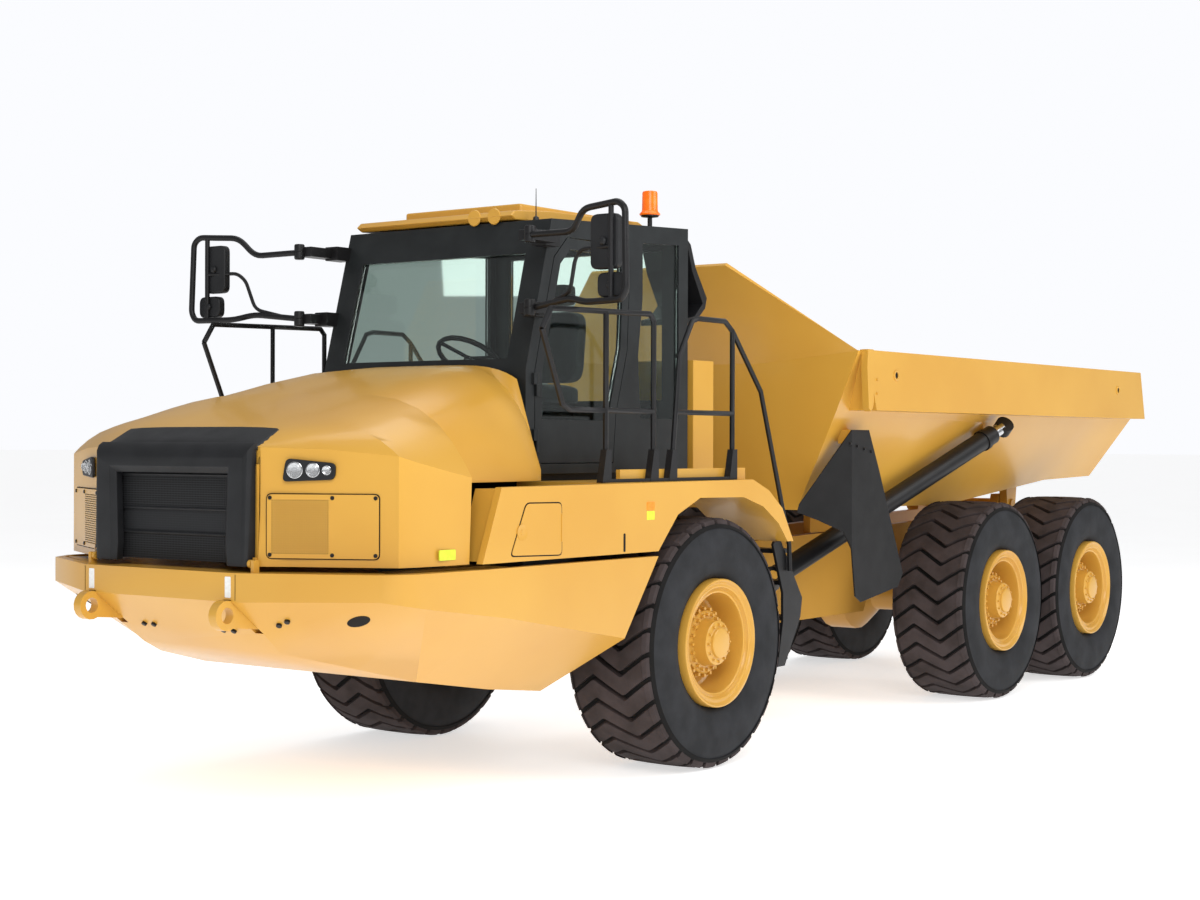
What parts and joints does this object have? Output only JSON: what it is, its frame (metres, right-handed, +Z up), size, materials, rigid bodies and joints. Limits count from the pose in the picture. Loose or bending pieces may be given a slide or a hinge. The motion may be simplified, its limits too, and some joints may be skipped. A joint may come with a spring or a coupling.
{
  "type": "articulated dump truck",
  "caption": "Six-wheel articulated dump truck: cab and engine on a front frame, tipping load bed on a rear frame, joined by a vertical steering hinge.",
  "frame": {"origin": "middle of the truck's length and width, on the ground under the tyres", "axes": "+Z up; +Y towards the tail of the bed, so the truck faces -Y; +X towards the truck's left-hand side, the driver's-door side"},
  "size_m": [3.6076, 10.7988, 3.7387],
  "materials": {
    "yellow_paint": "semi-gloss enamel",
    "black_paint": "satin black",
    "black_plastic": "moulded, matte",
    "tyre_rubber": "worn rubber",
    "flap_rubber": "matte",
    "bare_steel": "ground rod",
    "cast_iron": "as cast",
    "tinted_glass": "green tint",
    "amber_lens": "moulded lens",
    "seat_fabric": "woven"
  },
  "bodies": {
    "front_frame": {"front_chassis": "yellow_paint", "front_axle": "yellow_paint", "engine_block": "cast_iron", "front_bumper": "yellow_paint", "tow_plates": "yellow_paint", "fender_left": "yellow_paint", "fender_right": "yellow_paint", "cab_shell": "black_paint", "cab_roof": "yellow_paint", "windscreen": "tinted_glass", "cab_glass_left": "tinted_glass", "cab_glass_right": "tinted_glass", "cab_glass_rear": "tinted_glass", "seat": "seat_fabric", "dashboard": "black_plastic", "mirror_left": "black_plastic", "mirror_right": "black_plastic", "handrails_left": "black_paint", "handrails_right": "black_paint", "ladder_left": "black_paint", "service_box": "yellow_paint", "rear_guard": "black_plastic", "beacon": "amber_lens"},
    "hood": {"hood": "yellow_paint", "grille_frame": "black_plastic", "grille_screen": "black_plastic", "headlight_left": "black_plastic", "headlight_right": "black_plastic"},
    "door": {"door_left": "black_paint", "door_glass": "tinted_glass"},
    "rear_frame": {"rear_frame": "yellow_paint", "hitch": "yellow_paint", "mid_axle": "yellow_paint", "rear_axle": "yellow_paint"},
    "bed": {"bed": "yellow_paint", "mud_flap_left": "flap_rubber", "mud_flap_right": "flap_rubber"},
    "hoist_barrel_left": {"hoist_barrel_left": "black_paint"},
    "hoist_rod_left": {"hoist_rod_left": "bare_steel"},
    "steer_barrel_left": {"steer_barrel_left": "black_paint"},
    "steer_rod_left": {"steer_rod_left": "bare_steel"},
    "hoist_barrel_right": {"hoist_barrel_right": "black_paint"},
    "hoist_rod_right": {"hoist_rod_right": "bare_steel"},
    "steer_barrel_right": {"steer_barrel_right": "black_paint"},
    "steer_rod_right": {"steer_rod_right": "bare_steel"},
    "wheel_front_left": {"front_left_rim": "yellow_paint", "front_left_tyre": "tyre_rubber"},
    "wheel_front_right": {"front_right_rim": "yellow_paint", "front_right_tyre": "tyre_rubber"},
    "wheel_mid_left": {"mid_left_rim": "yellow_paint", "mid_left_tyre": "tyre_rubber"},
    "wheel_mid_right": {"mid_right_rim": "yellow_paint", "mid_right_tyre": "tyre_rubber"},
    "wheel_rear_left": {"rear_left_rim": "yellow_paint", "rear_left_tyre": "tyre_rubber"},
    "wheel_rear_right": {"rear_right_rim": "yellow_paint", "rear_right_tyre": "tyre_rubber"}
  },
  "joints": [
    {"name": "hood_tilt", "type": "hinge", "parent": "front_frame", "child": "hood", "pos_m": [0, -5.202, 1.42], "axis": [1, 0, 0], "range_deg": [0, 60]},
    {"name": "door_swing", "type": "hinge", "parent": "front_frame", "child": "door", "pos_m": [0.852, -3.077, 2.4], "axis": [0, 0, -1], "range_deg": [0, 30]},
    {"name": "steer", "type": "hinge", "parent": "front_frame", "child": "rear_frame", "pos_m": [0, -0.674, 0.95], "axis": [0, 0, 1], "range_deg": [-45, 45]},
    {"name": "bed_tip", "type": "hinge", "parent": "rear_frame", "child": "bed", "pos_m": [0, 4.466, 1.51], "axis": [-1, 0, 0], "range_deg": [0, 70]},
    {"name": "hoist_pivot_left", "type": "hinge", "parent": "rear_frame", "child": "hoist_barrel_left", "pos_m": [0.65, -0.024, 1.06], "axis": [0.6492, -0.4357, 0.6235], "range_deg": [0, 7.59]},
    {"name": "hoist_slide_left", "type": "slide", "parent": "hoist_barrel_left", "child": "hoist_rod_left", "axis": [0.2232, 0.8927, 0.3914], "range_m": [0, 2.252]},
    {"name": "hoist_pivot_right", "type": "hinge", "parent": "rear_frame", "child": "hoist_barrel_right", "pos_m": [-0.65, -0.024, 1.06], "axis": [0.6492, 0.4357, -0.6235], "range_deg": [0, 7.59]},
    {"name": "hoist_slide_right", "type": "slide", "parent": "hoist_barrel_right", "child": "hoist_rod_right", "axis": [-0.2232, 0.8927, 0.3914], "range_m": [0, 2.252]},
    {"name": "steer_pivot_left", "type": "hinge", "parent": "front_frame", "child": "steer_barrel_left", "pos_m": [0.4, -1.644, 0.93], "axis": [0, 0, 1], "range_deg": [-8, 8]},
    {"name": "steer_slide_left", "type": "slide", "parent": "steer_barrel_left", "child": "steer_rod_left", "axis": [0, 1, 0], "range_m": [-0.31, 0.31]},
    {"name": "steer_pivot_right", "type": "hinge", "parent": "front_frame", "child": "steer_barrel_right", "pos_m": [-0.4, -1.644, 0.93], "axis": [0, 0, 1], "range_deg": [-8, 8]},
    {"name": "steer_slide_right", "type": "slide", "parent": "steer_barrel_right", "child": "steer_rod_right", "axis": [0, 1, 0], "range_m": [-0.31, 0.31]},
    {"name": "front_left_wheel_spin", "type": "hinge", "parent": "front_frame", "child": "wheel_front_left", "pos_m": [1.1375, -1.974, 0.797], "axis": [1, 0, 0], "continuous": true},
    {"name": "front_right_wheel_spin", "type": "hinge", "parent": "front_frame", "child": "wheel_front_right", "pos_m": [-1.1375, -1.974, 0.797], "axis": [1, 0, 0], "continuous": true},
    {"name": "mid_left_wheel_spin", "type": "hinge", "parent": "rear_frame", "child": "wheel_mid_left", "pos_m": [1.1375, 2.286, 0.797], "axis": [1, 0, 0], "continuous": true},
    {"name": "mid_right_wheel_spin", "type": "hinge", "parent": "rear_frame", "child": "wheel_mid_right", "pos_m": [-1.1375, 2.286, 0.797], "axis": [1, 0, 0], "continuous": true},
    {"name": "rear_left_wheel_spin", "type": "hinge", "parent": "rear_frame", "child": "wheel_rear_left", "pos_m": [1.1375, 4.086, 0.797], "axis": [1, 0, 0], "continuous": true},
    {"name": "rear_right_wheel_spin", "type": "hinge", "parent": "rear_frame", "child": "wheel_rear_right", "pos_m": [-1.1375, 4.086, 0.797], "axis": [1, 0, 0], "continuous": true}
  ],
  "couplings": [
    {"joint": "hoist_pivot_left", "follows": "bed_tip", "ratio": 0.10766},
    {"joint": "hoist_slide_left", "follows": "bed_tip", "m_per_rad": 1.8426},
    {"joint": "hoist_pivot_right", "follows": "bed_tip", "ratio": 0.10766},
    {"joint": "hoist_slide_right", "follows": "bed_tip", "m_per_rad": 1.8426},
    {"joint": "steer_pivot_left", "follows": "steer", "ratio": 0.1488},
    {"joint": "steer_slide_left", "follows": "steer", "m_per_rad": 0.3844},
    {"joint": "steer_pivot_right", "follows": "steer", "ratio": 0.1488},
    {"joint": "steer_slide_right", "follows": "steer", "m_per_rad": -0.3844}
  ]
}
